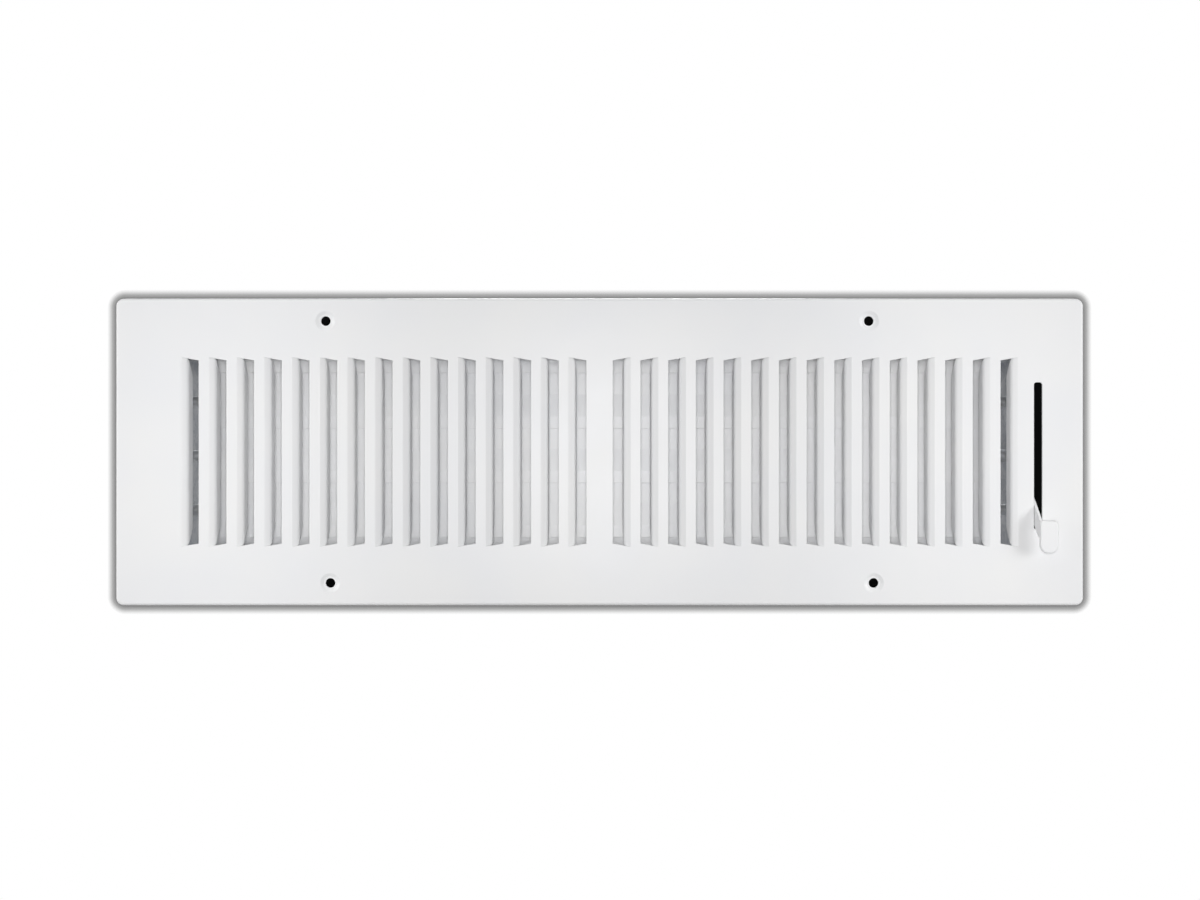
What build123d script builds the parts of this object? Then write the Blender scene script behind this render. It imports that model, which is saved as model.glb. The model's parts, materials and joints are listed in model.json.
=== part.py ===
from build123d import *
import os
from math import atan, cos, degrees, radians, tan

# Sidewall register: a stamped, louvered face with a three-blade damper behind it.
# Millimetres. Origin at the middle of the face on the wall plane, +X to the right
# of someone facing it, +Y into the wall, +Z up. The damper is closed, lever down.

# Face plate, one stamped sheet
face_gauge = 0.8
side_margin = 26.525        # louver field to the plate's end edge
head_margin = 27.95         # louver opening to the plate's long edge
rim_depth = 5.5             # front of the face to the wall
rim_run = 0.9               # how far the rim flares out over that depth
rim_bend = 1.4
plate_corner = 4.2

# Louvers, two mirrored groups of fins lanced out of the face
louver_count = 15           # in each group
louver_pitch = 12.85
center_bar = 12.3
opening_width = 8.6
hinge_side_height = 88.0
cut_side_height = 85.0
fin_root = 0.4              # flat left beside the hinge line
fin_first_reach = 2.95      # across the opening, at the shallow angle
fin_first_angle = 26.0
fin_second_drop = 4.3       # towards the damper, at the steep angle
fin_second_angle = 82.0
fin_root_bend = 1.3
fin_knee_bend = 2.0
fin_end_curve = 15.0        # length of the curve at each end of the free edge

# Wall screws
screw_hole = 4.5
screw_spacing = 252.4
screw_stagger = 1.1         # upper row to the left, lower row to the right
dimple_diameter = 9.2
dimple_depth = 0.8
dimple_clearance = 1.4      # dimple to the rail flange

# Damper box
box_gauge = 0.8
box_bend = 1.0              # inside bend of its folded sheets
fin_room = 3.2              # box wall to the louver opening
damper_drop = 1.85          # damper centre below the face centre
field_clearance = 0.3       # louver field to the end plate
rail_flange = 5.0
rail_lip = 3.5
rear_room = 1.85            # open blade to the rear edge
end_flange = 12.0
flange_setback = 3.0        # end plate flange to the fins and to the rear edge
stop_leg = 9.0
stop_overlap = 1.0          # stop over the blade's edge

# Damper blades
blade_steps = {"upper": 1, "middle": 0, "lower": -1}
blade_gauge = 0.6
blade_bend = 1.5
blade_joggle = 1.5          # step from the front lip to the rear lip
blade_offset = 4.5          # blade in front of its pivot
blade_overlap = 1.6         # rear lip behind the next blade
edge_gap = 0.1
rear_lip = 9.8              # height of the rear lip below the blade boundary
front_lip = 5.8             # height of the front lip above the lower boundary
stop_reach = 7.75           # box wall to the outermost blade boundary
end_gap = 5.4               # blade end to the end plate
notch_width = 3.0
notch_height = 2.2
ear_round = 5.0
pivot_depth = 22.4          # pivot axes behind the wall plane

# Pins and rivets
pivot_diameter = 4.0
pivot_head = 7.0
pivot_shoulder = 5.2
pivot_tail = 1.5            # stands out of the end plate
head_thickness = 0.9
link_pin_diameter = 3.6
link_pin_head = 6.0
rivet_diameter = 3.2
rivet_head = 6.0
rivet_dome = 1.0
rivet_tail = 4.8
rivet_tail_height = 0.7
rivet_inset = 7.0           # from the ends of the end plate flange

# Link between the blades
link_gauge = 1.2
link_width = 6.0
crank_reach = 7.8           # link pin behind its pivot, and as far above it
crank_round = 4.0

# Operating lever
lever_gauge = 1.2
lever_width = 6.8
lever_angle = 45.0          # below the horizontal when the damper is closed
lever_gap = 1.85            # end plate to the lever
lever_reach = 7.5           # tab in front of the face
lever_hub = 6.5
lever_toe = 2.2             # rounding of the lever's end under the tab
tab_width = 8.4
tab_rise = 5.7              # tab above the lever's middle line
tab_drop = 9.25             # tab below it
tab_round = 3.8
tab_corner = 2.0
tab_bend = 0.8
shaft_diameter = 6.0
neck_diameter = 4.6
neck_flats = 3.4
shaft_head = 6.4
washer_diameter = 12.0
washer_gauge = 0.4
slot_width = 3.95
slot_corner = 1.3

# Clearances
running_clearance = 0.05    # radial, pin turning in its bore
rivet_clearance = 0.05      # radial, fixed shank in its hole
link_clearance = 0.2        # radial, at the upper and lower link pins
slide_clearance = 0.3       # between faces that pass each other
slot_clearance = 1.5        # lever to the ends of its slot

# Face, worked out
face_front = -rim_depth
face_back = face_front + face_gauge
field_half = center_bar / 2 + louver_count * louver_pitch
plate_length = 2 * (field_half + side_margin)
plate_height = hinge_side_height + 2 * head_margin
rim_angle = degrees(atan(rim_run / rim_depth))
rim_wall = face_gauge / cos(radians(rim_angle))
hinge_places = [center_bar / 2 + opening_width + louver_pitch * k for k in range(louver_count)]
fin_first_drop = fin_first_reach * tan(radians(fin_first_angle))
fin_second_reach = fin_second_drop / tan(radians(fin_second_angle))
fin_back = face_front + fin_first_drop + fin_second_drop + face_gauge

# Damper, worked out
damper_z = -damper_drop
box_half = hinge_side_height / 2 + fin_room
box_top = damper_z + box_half
box_bottom = damper_z - box_half
web_inner = field_half + field_clearance
web_outer = web_inner + box_gauge
blade_pitch = 2 * (box_half - stop_reach) / len(blade_steps)
pivot_heights = {place: damper_z + step * blade_pitch for place, step in blade_steps.items()}
blade_end = web_inner - end_gap
ear_inner = blade_end - blade_gauge
blade_top = blade_pitch / 2 + blade_overlap
blade_bottom = edge_gap - blade_pitch / 2
front_lip_y = -blade_offset - blade_joggle / 2
rear_lip_y = -blade_offset + blade_joggle / 2
lower_crease = (front_lip_y, front_lip - blade_pitch / 2)
upper_crease = (rear_lip_y, blade_pitch / 2 - rear_lip)
box_rear = pivot_depth + blade_top + rear_room
lip_front = box_rear - box_gauge
flange_start = fin_back + flange_setback
flange_end = box_rear - flange_setback
rivet_x = web_inner - end_flange / 2
rivet_ys = (flange_start + rivet_inset, flange_end - rivet_inset)
stop_half = web_inner - end_flange - slide_clearance

# Screws, link and lever, worked out
screw_z = box_half + damper_drop + box_gauge + rail_flange + dimple_clearance + dimple_diameter / 2
screw_places = [
    (side * screw_spacing / 2 - row * screw_stagger, row * screw_z) for row in (1, -1) for side in (-1, 1)
]
crank = (crank_reach, crank_reach)
link_inner = blade_end + slide_clearance
link_outer = link_inner + link_gauge
lever_inner = web_outer + lever_gap
lever_outer = lever_inner + lever_gauge
tab_front = face_front - lever_reach
lever_fall = tan(radians(lever_angle))
lever_rise = lever_width / 2 / cos(radians(lever_angle))
tab_z = damper_z - (pivot_depth - tab_front) * lever_fall
slot_half = (pivot_depth - face_front) * lever_fall + lever_rise + slot_clearance

os.makedirs("parts", exist_ok=True)


def save(piece, name):
    piece.part.label = name
    export_step(piece.part, f"parts/{name}.step")


def folded_sheet(points, bends, gauge, side):
    """Section of a folded sheet that follows points along one skin."""
    with BuildSketch() as section:
        with BuildLine():
            FilletPolyline(*points, radius=bends)
            offset(amount=gauge, side=side)
        make_face()
    return section.sketch


def turned_pin(height, depth, steps):
    """Round pin along X, from steps of (start, end, radius)."""
    with BuildPart() as pin:
        for start, end, radius in steps:
            with BuildSketch(Plane.YZ.offset(start)):
                with Locations((depth, height)):
                    Circle(radius)
            extrude(amount=end - start)
    return pin


# One louver fin of the right group, its hinge line at x = 0
half_hinge = hinge_side_height / 2
fin_knee = half_hinge - (hinge_side_height - cut_side_height) / 2 * fin_first_reach / opening_width
fin_path = [
    (0, face_front),
    (-fin_root, face_front),
    (-fin_root - fin_first_reach, face_front + fin_first_drop),
    (-fin_root - fin_first_reach - fin_second_reach, face_front + fin_first_drop + fin_second_drop),
]
with BuildPart() as right_fin:
    with BuildSketch(Plane.XY.offset(-half_hinge)):
        add(folded_sheet(fin_path, [fin_root_bend, fin_knee_bend], face_gauge, Side.RIGHT))
    extrude(amount=hinge_side_height)
    with BuildSketch(Plane.YZ.offset(-opening_width)):
        with BuildLine():
            Line((face_front, 0), (face_front, half_hinge))
            Line((face_front, half_hinge), (face_front + fin_first_drop, fin_knee))
            TangentArc(
                (fin_back, half_hinge - fin_end_curve),
                (face_front + fin_first_drop, fin_knee),
                tangent=(0, 1),
            )
            Line((fin_back, half_hinge - fin_end_curve), (fin_back, 0))
            mirror(about=Plane.XZ)
        make_face()
    extrude(amount=opening_width, mode=Mode.INTERSECT)

with BuildPart() as left_fin:
    mirror(right_fin.part, about=Plane.YZ)

# Face plate: flanged pan, louvers, dimpled screw holes, lever slot
opening_outline = [
    (0, half_hinge),
    (0, -half_hinge),
    (-opening_width, -cut_side_height / 2),
    (-opening_width, cut_side_height / 2),
]
face_plane = Plane.XZ.offset(rim_depth)
with BuildPart() as face_plate:
    with BuildSketch(Plane.XZ):
        RectangleRounded(plate_length, plate_height, plate_corner)
    extrude(amount=rim_depth, taper=rim_angle)
    fillet(face_plate.faces().sort_by(Axis.Y)[0].edges(), rim_bend)
    with BuildSketch(Plane.XZ):
        RectangleRounded(plate_length - 2 * rim_wall, plate_height - 2 * rim_wall, plate_corner - rim_wall)
    extrude(amount=rim_depth - face_gauge, taper=rim_angle, mode=Mode.SUBTRACT)
    fillet(face_plate.faces().filter_by(Axis.Y).sort_by(Axis.Y)[1].edges(), rim_bend - face_gauge)
    with BuildSketch(face_plane):
        with Locations(*[(x, 0) for x in hinge_places]):
            Polygon(*opening_outline, align=None)
        mirror(about=Plane.YZ)
    extrude(amount=-face_gauge, mode=Mode.SUBTRACT)
    with Locations(*[(x, 0, 0) for x in hinge_places]):
        add(right_fin.part)
    with Locations(*[(-x, 0, 0) for x in hinge_places]):
        add(left_fin.part)
    with Locations(face_plane.offset(-face_gauge)):
        with Locations(*screw_places):
            Cone(
                screw_hole / 2 + face_gauge,
                dimple_diameter / 2,
                dimple_depth,
                align=(Align.CENTER, Align.CENTER, Align.MAX),
            )
    with Locations(face_plane):
        with Locations(*screw_places):
            Cone(
                screw_hole / 2 + face_gauge,
                dimple_diameter / 2,
                dimple_depth,
                align=(Align.CENTER, Align.CENTER, Align.MAX),
                mode=Mode.SUBTRACT,
            )
            Cylinder(screw_hole / 2, 2 * rim_depth, mode=Mode.SUBTRACT)
    with BuildSketch(face_plane):
        with Locations((lever_inner - slide_clearance + slot_width / 2, damper_z)):
            RectangleRounded(slot_width, 2 * slot_half, slot_corner)
    extrude(amount=-face_gauge, mode=Mode.SUBTRACT)
save(face_plate, "face_plate")

# Rails above and below, folded sheets with a front flange and a rear lip
rail_path = [
    (face_back, box_top + box_gauge + rail_flange),
    (face_back, box_top),
    (lip_front, box_top),
    (lip_front, box_top - rail_lip),
]
rivet_hole = rivet_diameter / 2 + rivet_clearance
rivet_places = [(side * rivet_x, y) for side in (-1, 1) for y in rivet_ys]
with BuildPart() as top_rail:
    with BuildSketch(Plane.YZ.offset(-web_outer)):
        add(folded_sheet(rail_path, [box_bend + box_gauge, box_bend], box_gauge, Side.LEFT))
    extrude(amount=2 * web_outer)
    with Locations(*[(x, y, box_top) for x, y in rivet_places]):
        Cylinder(rivet_hole, 4 * box_gauge, mode=Mode.SUBTRACT)
save(top_rail, "top_rail")

with BuildPart() as bottom_rail:
    mirror(top_rail.part, about=Plane.XY.offset(damper_z))
save(bottom_rail, "bottom_rail")


def end_plate(bores):
    """Web with flanges folded inwards along the rails, and a bore for each pivot."""
    outer_bend = box_bend + box_gauge
    flange_path = [
        (web_inner - end_flange, box_top),
        (web_outer, box_top),
        (web_outer, box_bottom),
        (web_inner - end_flange, box_bottom),
    ]
    with BuildPart() as plate:
        with BuildSketch(Plane.XZ.offset(-flange_start)):
            add(folded_sheet(flange_path, outer_bend, box_gauge, Side.RIGHT))
        extrude(amount=flange_start - flange_end)
        with BuildSketch(Plane.YZ.offset(web_inner)):
            with Locations(((face_back + lip_front) / 2, damper_z)):
                Rectangle(lip_front - face_back, 2 * (box_half - outer_bend))
        extrude(amount=box_gauge)
        with BuildSketch(Plane.YZ.offset(web_inner)):
            for place, radius in bores.items():
                with Locations((pivot_depth, pivot_heights[place])):
                    Circle(radius)
        extrude(amount=box_gauge, mode=Mode.SUBTRACT)
        with Locations(*[(rivet_x, y, damper_z) for y in rivet_ys]):
            Cylinder(rivet_hole, 3 * box_half, mode=Mode.SUBTRACT)
    return plate


def mirrored(piece):
    with BuildPart() as other_hand:
        mirror(piece.part, about=Plane.YZ)
    return other_hand


pivot_bore = pivot_diameter / 2 + running_clearance
shaft_bore = shaft_diameter / 2 + running_clearance
pivot_bores = dict.fromkeys(blade_steps, pivot_bore)
save(mirrored(end_plate(pivot_bores)), "left_end_plate")
save(end_plate(pivot_bores | {"middle": shaft_bore}), "right_end_plate")

# Angle strips that the outer blades close against
top_stop_y = pivot_depth + rear_lip_y - slide_clearance
top_stop_path = [
    (top_stop_y - stop_leg, box_top),
    (top_stop_y, box_top),
    (top_stop_y, pivot_heights["upper"] + blade_top - stop_overlap),
]
bottom_stop_y = pivot_depth + front_lip_y + blade_gauge + slide_clearance
bottom_stop_path = [
    (bottom_stop_y + stop_leg, box_bottom),
    (bottom_stop_y, box_bottom),
    (bottom_stop_y, pivot_heights["lower"] + blade_bottom + stop_overlap),
]
for name, path in {"top_stop_strip": top_stop_path, "bottom_stop_strip": bottom_stop_path}.items():
    with BuildPart() as stop_strip:
        with BuildSketch(Plane.YZ.offset(-stop_half)):
            add(folded_sheet(path, box_bend + box_gauge, box_gauge, Side.RIGHT))
        extrude(amount=2 * stop_half)
    save(stop_strip, name)

# Rivets that hold the rails to the end plates
with BuildPart() as rivet:
    with BuildSketch(Plane.XZ):
        with BuildLine():
            Polyline(
                (0, rivet_dome),
                (0, -2 * box_gauge - rivet_tail_height),
                (rivet_tail / 2, -2 * box_gauge - rivet_tail_height),
                (rivet_tail / 2, -2 * box_gauge),
                (rivet_diameter / 2, -2 * box_gauge),
                (rivet_diameter / 2, 0),
                (rivet_head / 2, 0),
            )
            TangentArc((0, rivet_dome), (rivet_head / 2, 0), tangent=(1, 0))
        make_face()
    revolve(axis=Axis.Z)

with BuildPart() as corner_rivets:
    with Locations(*[(x, y, box_top + box_gauge) for x, y in rivet_places]):
        add(rivet.part)
    mirror(about=Plane.XY.offset(damper_z))
save(corner_rivets, "corner_rivets")


def ear_outline(rounds):
    """Ear from the blade's middle land back to its pivot and, where it has one, its crank."""
    with BuildSketch() as outline:
        for place, radius in rounds:
            with Locations(place):
                Circle(radius)
        with BuildLine():
            Line(lower_crease, upper_crease)
        make_hull()
    return outline.sketch


# Blade about its pivot axis: joggled sheet with an ear folded back at each end
blade_path = [(front_lip_y, blade_bottom), lower_crease, upper_crease, (rear_lip_y, blade_top)]
with BuildPart() as blade:
    with BuildSketch(Plane.YZ.offset(-blade_end)):
        add(folded_sheet(blade_path, blade_bend, blade_gauge, Side.RIGHT))
    extrude(amount=2 * blade_end)
    with Locations(*[(side * (blade_end - notch_width / 2), 0, blade_top) for side in (-1, 1)]):
        Box(notch_width, 4 * blade_offset, 2 * notch_height, mode=Mode.SUBTRACT)
    with BuildSketch(Plane.YZ.offset(-blade_end)):
        add(ear_outline([((0, 0), ear_round)]))
    extrude(amount=blade_gauge)
    with BuildSketch(Plane.YZ.offset(ear_inner)):
        add(ear_outline([((0, 0), ear_round), (crank, crank_round)]))
    extrude(amount=blade_gauge)
    with BuildSketch(Plane.YZ.offset(-blade_end)):
        Circle(pivot_diameter / 2 + rivet_clearance)
    extrude(amount=2 * blade_end, mode=Mode.SUBTRACT)
    with BuildSketch(Plane.YZ.offset(ear_inner)):
        with Locations(crank):
            Circle(link_pin_diameter / 2 + rivet_clearance)
    extrude(amount=blade_gauge, mode=Mode.SUBTRACT)

for place, height in pivot_heights.items():
    with BuildPart() as placed_blade:
        with Locations((0, pivot_depth, height)):
            add(blade.part)
    save(placed_blade, f"{place}_blade")

# Pivot pins riveted into the ears, turning in the end plates
pin_steps = [
    (ear_inner - head_thickness, ear_inner, pivot_head / 2),
    (ear_inner, blade_end, pivot_diameter / 2),
    (blade_end, web_inner - slide_clearance, pivot_shoulder / 2),
    (web_inner - slide_clearance, web_outer + pivot_tail, pivot_diameter / 2),
]
mirrored_steps = [(-end, -start, radius) for start, end, radius in pin_steps]
for place, height in pivot_heights.items():
    save(turned_pin(height, pivot_depth, mirrored_steps), f"{place}_left_pivot_pin")
for place in ("upper", "lower"):
    save(turned_pin(pivot_heights[place], pivot_depth, pin_steps), f"{place}_right_pivot_pin")

# Lever shaft: the middle blade's right pivot, with a flatted neck for the lever
shaft_steps = pin_steps[:2] + [
    (blade_end, lever_inner, shaft_diameter / 2),
    (lever_outer, lever_outer + head_thickness, shaft_head / 2),
]
shaft_axis = (pivot_depth, damper_z)
with BuildPart() as lever_shaft:
    add(turned_pin(damper_z, pivot_depth, shaft_steps).part)
    with BuildSketch(Plane.YZ.offset(lever_inner)):
        with Locations(shaft_axis):
            Circle(neck_diameter / 2)
            Rectangle(neck_diameter, neck_flats, rotation=lever_angle, mode=Mode.INTERSECT)
    extrude(amount=lever_gauge)
save(lever_shaft, "lever_shaft")

# Operating lever: flat strip on the shaft, its end folded into a finger tab
lever_outline = [
    (pivot_depth, damper_z + lever_rise),
    (tab_front, tab_z + lever_rise),
    (tab_front, tab_z - lever_rise),
    (pivot_depth, damper_z - lever_rise),
]
with BuildPart() as operating_lever:
    with BuildSketch(Plane.YZ.offset(lever_inner)) as strip:
        Polygon(*lever_outline, align=None)
        fillet(strip.vertices().sort_by(Axis.X)[:2].sort_by(Axis.Y)[0], lever_toe)
        with Locations(shaft_axis):
            Circle(lever_hub)
            Circle(neck_diameter / 2 + rivet_clearance, mode=Mode.SUBTRACT)
    extrude(amount=lever_gauge)
    with BuildSketch(Plane.YZ.offset(lever_inner)):
        for flat in (-1, 1):
            with Locations(Location((*shaft_axis, 0), lever_angle) * Location((0, flat * neck_diameter / 2, 0))):
                Rectangle(neck_diameter, neck_diameter - neck_flats - 2 * rivet_clearance)
    extrude(amount=lever_gauge)
    with BuildSketch(Plane.XZ.offset(-tab_front)) as tab:
        with Locations((lever_inner + tab_width / 2, tab_z + (tab_rise - tab_drop) / 2)):
            Rectangle(tab_width, tab_rise + tab_drop)
        fillet(tab.vertices().group_by(Axis.Y)[0], tab_round)
        fillet(tab.vertices().group_by(Axis.Y)[-1].sort_by(Axis.X)[-1], tab_corner)
    extrude(amount=-lever_gauge)
    fold = operating_lever.edges().filter_by(Axis.Z).group_by(Axis.Y)[0].sort_by(Axis.X)[0]
    fillet(fold, tab_bend)
save(operating_lever, "operating_lever")

# Cupped spring washer between the end plate and the lever
washer_bore = shaft_diameter / 2 + rivet_clearance
washer_start = web_outer + slide_clearance
with BuildPart() as spring_washer:
    with BuildSketch(Plane.XY.offset(damper_z)):
        with Locations((0, pivot_depth)):
            Polygon(
                (lever_inner - washer_gauge, washer_bore),
                (lever_inner, washer_bore),
                (washer_start + washer_gauge, washer_diameter / 2),
                (washer_start, washer_diameter / 2),
                align=None,
            )
    revolve(axis=Axis((0, pivot_depth, damper_z), (1, 0, 0)))
save(spring_washer, "spring_washer")

# Link bar that ties the three cranks together, and its pins
link_pin_radius = link_pin_diameter / 2
with BuildPart() as link_bar:
    with BuildSketch(Plane.YZ.offset(link_inner)):
        with Locations((pivot_depth + crank_reach, damper_z + crank_reach)):
            SlotCenterToCenter(2 * blade_pitch, link_width, rotation=90)
            Circle(link_pin_radius + running_clearance, mode=Mode.SUBTRACT)
            with Locations((0, blade_pitch), (0, -blade_pitch)):
                Circle(link_pin_radius + link_clearance, mode=Mode.SUBTRACT)
    extrude(amount=link_gauge)
save(link_bar, "link_bar")

link_pin_steps = [
    (ear_inner - head_thickness, ear_inner, link_pin_head / 2),
    (ear_inner, link_outer + slide_clearance, link_pin_radius),
    (link_outer + slide_clearance, link_outer + slide_clearance + head_thickness, link_pin_head / 2),
]
for place, height in pivot_heights.items():
    save(turned_pin(height + crank_reach, pivot_depth + crank_reach, link_pin_steps), f"{place}_link_pin")
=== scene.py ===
import json
from math import cos, radians, sin

import bmesh
import bpy
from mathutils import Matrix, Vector


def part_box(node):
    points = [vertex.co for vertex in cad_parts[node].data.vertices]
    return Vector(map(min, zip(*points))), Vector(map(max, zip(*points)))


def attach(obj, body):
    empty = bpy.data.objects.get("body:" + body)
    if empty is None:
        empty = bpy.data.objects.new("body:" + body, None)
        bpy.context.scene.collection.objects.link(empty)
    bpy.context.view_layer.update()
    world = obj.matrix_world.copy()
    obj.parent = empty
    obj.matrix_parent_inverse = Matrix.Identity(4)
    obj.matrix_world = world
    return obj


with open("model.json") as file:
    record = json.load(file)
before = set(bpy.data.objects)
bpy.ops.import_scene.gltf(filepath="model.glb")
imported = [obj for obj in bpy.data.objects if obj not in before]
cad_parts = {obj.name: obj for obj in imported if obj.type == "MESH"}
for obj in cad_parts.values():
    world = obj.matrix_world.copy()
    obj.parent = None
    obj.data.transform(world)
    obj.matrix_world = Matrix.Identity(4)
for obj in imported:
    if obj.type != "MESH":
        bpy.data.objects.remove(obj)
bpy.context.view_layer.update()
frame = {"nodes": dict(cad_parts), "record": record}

nodes = frame["nodes"]
face_low, face_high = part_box("face_plate")
MM = 0.001
WHITE = (1.0, 1.0, 1.0, 1.0)

# The photograph: its width in pixels, its scale at the face and the camera that fits it
FRAME_WIDTH = 1200
PIXELS_PER_MM = 2.155
FACE_CENTER_SHIFT = (0.4, 2.0)     # picture centre right of and above the face's middle, in pixels
CAMERA_DISTANCE = 0.550            # from the front of the face, in metres
CLIP_START = 0.01
SENSOR_WIDTH = 36.0

# Sizes of the sheet metal that the weld marks and the cards follow
FACE_CORNER = 4.2 * MM
SHEET = 0.8 * MM
RAIL_FLANGE = 5 * MM
STOP_LEG = 9 * MM

# Spot welds that hold the rails to the face and the stops to the rails
WELD_RADIUS = 1.7 * MM
WELD_SIDES = 20
WELD_PROFILE = (                   # radius as a share of the mark's, height above the sheet in mm
    (0.00, 0.03),
    (0.45, 0.04),
    (0.66, 0.09),
    (0.82, 0.16),
    (0.94, 0.12),
    (1.00, 0.00),
    (1.00, -0.20),
    (0.00, -0.20),
)
FLANGE_WELDS = 9
STOP_WELDS = 7
WELD_END_ROOM = 30 * MM            # from the rail's end to the row's last mark
WELD_EDGE_ROOM = 2 * MM            # from the flange's edge to the middle of its marks

# Floor under the part
FLOOR_DROP = 0.25
FLOOR_REACH = 2.0
FLOOR_FRONT = -2.0
FLOOR_BACK = 0.25
FLOOR_GLOW = 0.45

# Cards behind the face: painted shade behind the holes and a painted shadow around the rim
CORNER_STEPS = 9
DARK_CARD_DEPTH = -1 * MM
RIM_ROOM = 3 * MM
SHADOW_CARD_DEPTH = 0.2 * MM
SHADOW_SIDEWAYS = 1.1 * MM         # how much further the shadow reaches at the face's two ends
SHADOW_FADES = {                   # distance outside the face's outline: how dense the shadow is
    4.2 * MM: 0.0,
    3.3 * MM: 0.2,
    1.8 * MM: 0.62,
    0.4 * MM: 0.82,
    -2.0 * MM: 0.82,
}

# Lights: name, place, size, power in watts, target and beam in degrees
LIGHTS = (
    ("left_strip", (0.0, -0.58, 0.0), (0.06, 0.2), 0.212, (-0.225, 0.0, 0.0), 60),
    ("right_strip", (0.0, -0.58, 0.0), (0.06, 0.2), 0.212, (0.225, 0.0, 0.0), 60),
    ("left_softbox", (-0.44, -0.21, 0.05), (0.2, 0.4), 0.125, (-0.14, 0.0, 0.0), 40),
    ("right_softbox", (0.44, -0.21, 0.05), (0.2, 0.4), 0.128, (0.14, 0.0, 0.0), 40),
    ("overhead_softbox", (0.0, 0.05, 1.7), (2.6, 2.6), 8.0, (0.0, 0.0, 0.0), 180),
    ("back_softbox", (0.0, 1.3, 0.75), (0.7, 0.7), 10.0, (0.0, 0.0, 0.0), 180),
)
SURROUND_LIGHT = 0.22


def new_material(name):
    material = bpy.data.materials.new(name)
    material.use_nodes = True
    tree = material.node_tree
    return material, tree, tree.nodes["Principled BSDF"]


def add_node(tree, kind, **inputs):
    node = tree.nodes.new(kind)
    for name, value in inputs.items():
        node.inputs[name].default_value = value
    return node


def object_place(tree):
    """Coordinates that stay with the object."""
    return tree.nodes.new("ShaderNodeTexCoord").outputs["Object"]


def noise(tree, place, size, detail=2.0, output="Fac"):
    """Noise whose features are about size metres across."""
    node = add_node(tree, "ShaderNodeTexNoise", Scale=1.0 / size, Detail=detail)
    tree.links.new(place, node.inputs["Vector"])
    return node.outputs[output]


def ramp(tree, value, low, high):
    """Colour ramp between two colours."""
    node = tree.nodes.new("ShaderNodeValToRGB")
    first, last = node.color_ramp.elements
    first.color = (*low, 1.0)
    first.position = 0.3
    last.color = (*high, 1.0)
    last.position = 0.7
    tree.links.new(value, node.inputs["Fac"])
    return node.outputs["Color"]


def spread(tree, value, low, high):
    """Maps a 0 to 1 value onto low to high."""
    node = tree.nodes.new("ShaderNodeMapRange")
    node.inputs["To Min"].default_value = low
    node.inputs["To Max"].default_value = high
    tree.links.new(value, node.inputs["Value"])
    return node.outputs["Result"]


def bump(tree, height, depth, strength, normal=None):
    node = add_node(tree, "ShaderNodeBump", Distance=depth, Strength=strength)
    tree.links.new(height, node.inputs["Height"])
    if normal:
        tree.links.new(normal, node.inputs["Normal"])
    return node.outputs["Normal"]


def rounded_edges(tree, radius):
    node = add_node(tree, "ShaderNodeBevel", Radius=radius)
    node.samples = 6
    return node.outputs["Normal"]


def crystals(tree, place, size, wander):
    """A random tone for each crystal of about size metres, with edges that wander."""
    wobble = noise(tree, place, size / 2, detail=3.0, output="Color")
    shift = tree.nodes.new("ShaderNodeVectorMath")
    shift.operation = "MULTIPLY_ADD"
    tree.links.new(wobble, shift.inputs[0])
    shift.inputs[1].default_value = (wander, wander, wander)
    tree.links.new(place, shift.inputs[2])
    cells = add_node(tree, "ShaderNodeTexVoronoi", Scale=1.0 / size)
    tree.links.new(shift.outputs["Vector"], cells.inputs["Vector"])
    separate = tree.nodes.new("ShaderNodeSeparateColor")
    tree.links.new(cells.outputs["Color"], separate.inputs["Color"])
    return separate.outputs["Red"]


def coat(tree, shader, color, roughness, normal):
    """Gives the shader its colour, roughness and surface relief."""
    tree.links.new(color, shader.inputs["Base Color"])
    tree.links.new(roughness, shader.inputs["Roughness"])
    tree.links.new(normal, shader.inputs["Normal"])


def white_enamel():
    """Baked white enamel: a faint cool and warm drift, fine orange peel, softened edges."""
    material, tree, shader = new_material("white_enamel")
    place = object_place(tree)
    drift = noise(tree, place, 45 * MM)
    color = ramp(tree, drift, (0.83, 0.835, 0.85), (0.855, 0.855, 0.855))
    roughness = spread(tree, noise(tree, place, 20 * MM), 0.36, 0.46)
    peel = noise(tree, place, 1.1 * MM, detail=1.0)
    relief = bump(tree, peel, 0.03 * MM, 0.35, rounded_edges(tree, 0.35 * MM))
    coat(tree, shader, color, roughness, relief)
    shader.inputs["Specular IOR Level"].default_value = 0.45
    return material


def galvanised_steel():
    """Zinc-coated sheet with a dull, feathery crystalline spangle."""
    material, tree, shader = new_material("galvanised_steel")
    place = object_place(tree)
    coarse = crystals(tree, place, 5.5 * MM, 2.2 * MM)
    fine = crystals(tree, place, 1.4 * MM, 0.8 * MM)
    tone = tree.nodes.new("ShaderNodeMath")
    tone.operation = "MULTIPLY_ADD"
    tree.links.new(fine, tone.inputs[0])
    tone.inputs[1].default_value = 0.45
    tree.links.new(spread(tree, coarse, 0.0, 0.55), tone.inputs[2])
    color = ramp(tree, tone.outputs["Value"], (0.53, 0.555, 0.595), (0.67, 0.685, 0.71))
    roughness = spread(tree, coarse, 0.36, 0.54)
    grain = noise(tree, place, 0.8 * MM)
    relief = bump(tree, grain, 0.02 * MM, 0.4, rounded_edges(tree, 0.2 * MM))
    coat(tree, shader, color, roughness, relief)
    shader.inputs["Metallic"].default_value = 0.6
    return material


def weld_mark():
    """Zinc dulled and tinted by the heat of a spot weld."""
    material, tree, shader = new_material("weld_mark")
    place = object_place(tree)
    tint = noise(tree, place, 1.6 * MM, detail=3.0)
    color = ramp(tree, tint, (0.36, 0.37, 0.40), (0.54, 0.53, 0.51))
    roughness = spread(tree, tint, 0.42, 0.62)
    pits = noise(tree, place, 0.4 * MM)
    coat(tree, shader, color, roughness, bump(tree, pits, 0.03 * MM, 0.5))
    shader.inputs["Metallic"].default_value = 0.6
    return material


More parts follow.
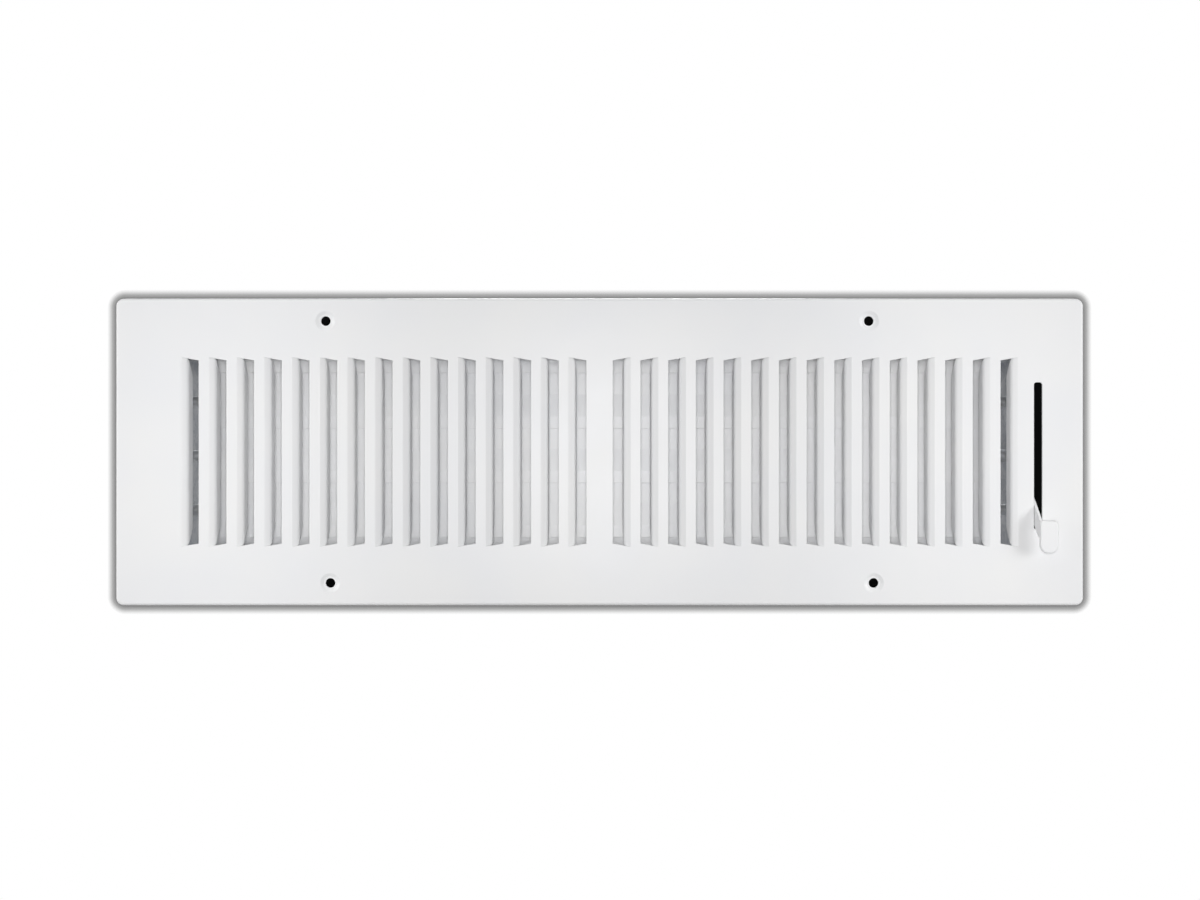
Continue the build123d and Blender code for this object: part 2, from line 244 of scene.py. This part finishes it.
def zinc_plate():
    """Bright zinc plate with fine turning marks and a little staining."""
    material, tree, shader = new_material("zinc_plate")
    place = object_place(tree)
    stain = noise(tree, place, 3 * MM)
    color = ramp(tree, stain, (0.60, 0.60, 0.59), (0.74, 0.75, 0.77))
    roughness = spread(tree, stain, 0.28, 0.42)
    marks = noise(tree, place, 0.3 * MM, detail=3.0)
    relief = bump(tree, marks, 0.01 * MM, 0.4, rounded_edges(tree, 0.2 * MM))
    coat(tree, shader, color, roughness, relief)
    shader.inputs["Metallic"].default_value = 0.8
    return material


def finish_nodes():
    """Gives every sheet, pin and rivet the finish that the record names for it."""
    finishes = {
        "white_enamel": white_enamel(),
        "galvanised_steel": galvanised_steel(),
        "zinc_plate": zinc_plate(),
    }
    for subpart in frame["record"]["subparts"]:
        mesh = nodes[subpart["node"]].data
        mesh.materials.clear()
        mesh.materials.append(finishes[subpart["material_slot"]])


def weld_rings(shape, middle, facing):
    """Rings of points of one mark, from its top down, turned out of the sheet as it faces."""
    turn = Vector(facing).to_track_quat("Z", "Y")
    rings = []
    for share, height in WELD_PROFILE:
        radius = share * WELD_RADIUS
        count = WELD_SIDES if share else 1
        angles = [radians(360 * k / count) for k in range(count)]
        ring = [Vector((radius * cos(a), radius * sin(a), height * MM)) for a in angles]
        rings.append([shape.verts.new(Vector(middle) + turn @ point) for point in ring])
    return rings


def add_weld(shape, middle, facing):
    """Closed round mark with a raised rim."""
    rings = weld_rings(shape, middle, facing)
    for inner, outer in zip(rings, rings[1:]):
        for k in range(WELD_SIDES):
            after = (k + 1) % WELD_SIDES
            if len(inner) == 1:
                shape.faces.new((inner[0], outer[k], outer[after]))
            elif len(outer) == 1:
                shape.faces.new((inner[k], outer[0], inner[after]))
            else:
                shape.faces.new((inner[k], outer[k], outer[after], inner[after]))


def weld_row(name, count, half_length, y, z, facing, material):
    """Row of marks along a rail, from end to end."""
    shape = bmesh.new()
    for k in range(count):
        x = half_length * (2 * k / (count - 1) - 1)
        add_weld(shape, (x, y, z), facing)
    mesh = bpy.data.meshes.new(name)
    shape.to_mesh(mesh)
    shape.free()
    mesh.shade_smooth()
    mesh.materials.append(material)
    row = bpy.data.objects.new(name, mesh)
    bpy.context.scene.collection.objects.link(row)
    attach(row, "frame")


def welds():
    material = weld_mark()
    for side, up in (("top", 1), ("bottom", -1)):
        rail_low, rail_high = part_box(side + "_rail")
        stop_low, stop_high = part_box(side + "_stop_strip")
        rail_edge = rail_high.z if up > 0 else rail_low.z
        half_length = rail_high.x - WELD_END_ROOM
        flange_y = rail_low.y + SHEET
        flange_z = rail_edge - up * WELD_EDGE_ROOM
        weld_row(side + "_flange_welds", FLANGE_WELDS, half_length, flange_y, flange_z, (0, 1, 0), material)
        stop_y = stop_low.y + STOP_LEG / 2 if up > 0 else stop_high.y - STOP_LEG / 2
        rail_face = rail_edge - up * RAIL_FLANGE
        weld_row(side + "_stop_welds", STOP_WELDS, half_length, stop_y, rail_face, (0, 0, up), material)


def flat_mesh(name, corners, faces, material):
    """Flat piece of the stage."""
    mesh = bpy.data.meshes.new(name)
    mesh.from_pydata(corners, [], faces)
    mesh.materials.append(material)
    piece = bpy.data.objects.new(name, mesh)
    bpy.context.scene.collection.objects.link(piece)
    return piece


def floor():
    """Pale floor that glows a little and throws no diffuse light on the part."""
    material, tree, shader = new_material("pale_floor")
    cloud = noise(tree, object_place(tree), 0.3)
    color = ramp(tree, cloud, (0.86, 0.86, 0.86), (0.90, 0.90, 0.90))
    tree.links.new(color, shader.inputs["Base Color"])
    shader.inputs["Roughness"].default_value = 0.8
    shader.inputs["Emission Color"].default_value = WHITE
    shader.inputs["Emission Strength"].default_value = FLOOR_GLOW
    level = face_low.z - FLOOR_DROP
    corners = [
        (-FLOOR_REACH, FLOOR_FRONT, level),
        (FLOOR_REACH, FLOOR_FRONT, level),
        (FLOOR_REACH, FLOOR_BACK, level),
        (-FLOOR_REACH, FLOOR_BACK, level),
    ]
    ground = flat_mesh("floor", corners, [(0, 1, 2, 3)], material)
    ground.visible_diffuse = False


def matte(name, grey):
    """Dull grey material for a card."""
    material, tree, shader = new_material(name)
    shader.inputs["Base Color"].default_value = (grey, grey, grey, 1.0)
    shader.inputs["Roughness"].default_value = 1.0
    shader.inputs["Specular IOR Level"].default_value = 0.0
    return material, tree, shader.outputs["BSDF"]


def one_sided(tree, surface, cover=None):
    """Shows a surface from its front only, and only as far as cover says."""
    clear = tree.nodes.new("ShaderNodeBsdfTransparent").outputs["BSDF"]
    if cover:
        fade = tree.nodes.new("ShaderNodeMixShader")
        tree.links.new(cover, fade.inputs["Fac"])
        tree.links.new(clear, fade.inputs[1])
        tree.links.new(surface, fade.inputs[2])
        surface = fade.outputs["Shader"]
    side = tree.nodes.new("ShaderNodeNewGeometry")
    front = tree.nodes.new("ShaderNodeMixShader")
    tree.links.new(side.outputs["Backfacing"], front.inputs["Fac"])
    tree.links.new(surface, front.inputs[1])
    tree.links.new(clear, front.inputs[2])
    tree.links.new(front.outputs["Shader"], tree.nodes["Material Output"].inputs["Surface"])


def rectangle(left, right, bottom, top):
    return [(right, top), (left, top), (left, bottom), (right, bottom)]


def rounded_outline(margin, sideways):
    """Corners of the face's outline, larger by margin all round and by sideways more at its ends."""
    radius = FACE_CORNER + margin
    reach_x = face_high.x + sideways - FACE_CORNER
    reach_z = face_high.z - FACE_CORNER
    outline = []
    for step in range(4 * CORNER_STEPS):
        quarter, part = divmod(step, CORNER_STEPS)
        angle = radians(90 * (quarter + part / (CORNER_STEPS - 1)))
        side_x = 1 if quarter in (0, 3) else -1
        side_z = 1 if quarter in (0, 1) else -1
        outline.append((side_x * reach_x + radius * cos(angle), side_z * reach_z + radius * sin(angle)))
    return outline


def frame_card(name, depth, outlines, material):
    """Flat card facing the camera, from outline to outline, outermost first."""
    count = len(outlines[0])
    corners = [(x, depth, z) for outline in outlines for x, z in outline]
    faces = []
    for ring in range(len(outlines) - 1):
        first = count * ring
        second = first + count
        for k in range(count):
            after = (k + 1) % count
            faces.append((first + k, first + after, second + after, second + k))
    card = flat_mesh(name, corners, faces, material)
    card.visible_diffuse = False
    card.visible_glossy = False
    card.visible_transmission = False
    card.visible_shadow = False
    return card


def painted_shade_card():
    """Painted shade: a near-black card just inside the rim that stands in for the shaded hollow behind the
    face, seen only through the screw holes and the lever slot.
    """
    material, tree, surface = matte("painted_shade_card", 0.004)
    one_sided(tree, surface)
    box_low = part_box("bottom_rail")[0]
    box_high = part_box("top_rail")[1]
    outer = rectangle(
        face_low.x + RIM_ROOM, face_high.x - RIM_ROOM,
        face_low.z + RIM_ROOM, face_high.z - RIM_ROOM,
    )
    inner = rectangle(
        box_low.x, box_high.x,
        box_low.z + RAIL_FLANGE, box_high.z - RAIL_FLANGE,
    )
    frame_card("painted_shade_card", DARK_CARD_DEPTH, [outer, inner], material)


def shadow_card():
    """Painted soft shadow of the face on the white ground behind its rim: a dark grey card that only the
    camera sees, fading outwards.
    """
    material, tree, surface = matte("shadow_card", 0.10)
    cover = tree.nodes.new("ShaderNodeAttribute")
    cover.attribute_name = "cover"
    one_sided(tree, surface, cover.outputs["Fac"])
    outlines = [rounded_outline(margin, SHADOW_SIDEWAYS) for margin in SHADOW_FADES]
    card = frame_card("shadow_card", SHADOW_CARD_DEPTH, outlines, material)
    shade = card.data.attributes.new("cover", "FLOAT", "POINT")
    densities = [density for density in SHADOW_FADES.values() for corner in outlines[0]]
    shade.data.foreach_set("value", densities)


def softbox(name, place, size, power, target, beam):
    light = bpy.data.lights.new(name, "AREA")
    light.shape = "RECTANGLE"
    light.size, light.size_y = size
    light.spread = radians(beam)
    light.energy = power
    lamp = bpy.data.objects.new(name, light)
    bpy.context.scene.collection.objects.link(lamp)
    lamp.location = place
    direction = Vector(target) - Vector(place)
    lamp.rotation_euler = direction.to_track_quat("-Z", "Y").to_euler()


def surroundings():
    """White surroundings: full white where the camera sees them, softer as light."""
    world = bpy.data.worlds.new("studio")
    world.use_nodes = True
    bpy.context.scene.world = world
    sky = world.node_tree
    light = sky.nodes["Background"]
    light.inputs["Color"].default_value = WHITE
    light.inputs["Strength"].default_value = SURROUND_LIGHT
    backdrop = add_node(sky, "ShaderNodeBackground", Color=WHITE, Strength=1.0)
    seen = sky.nodes.new("ShaderNodeLightPath")
    choose = sky.nodes.new("ShaderNodeMixShader")
    sky.links.new(seen.outputs["Is Camera Ray"], choose.inputs["Fac"])
    sky.links.new(light.outputs["Background"], choose.inputs[1])
    sky.links.new(backdrop.outputs["Background"], choose.inputs[2])
    sky.links.new(choose.outputs["Shader"], sky.nodes["World Output"].inputs["Surface"])


def photo_camera():
    """The photograph's camera, square to the face."""
    data = bpy.data.cameras.new("camera")
    data.sensor_width = SENSOR_WIDTH
    data.lens = PIXELS_PER_MM * CAMERA_DISTANCE / MM * SENSOR_WIDTH / FRAME_WIDTH
    data.clip_start = CLIP_START
    camera = bpy.data.objects.new("camera", data)
    bpy.context.scene.collection.objects.link(camera)
    shift_x, shift_z = (pixels / PIXELS_PER_MM * MM for pixels in FACE_CENTER_SHIFT)
    camera.location = (shift_x, face_low.y - CAMERA_DISTANCE, shift_z)
    camera.rotation_euler = (radians(90), 0, 0)
    bpy.context.scene.camera = camera


finish_nodes()
welds()
floor()
painted_shade_card()
shadow_card()
for light_values in LIGHTS:
    softbox(*light_values)
surroundings()
photo_camera()
bpy.context.scene.view_settings.view_transform = "Standard"
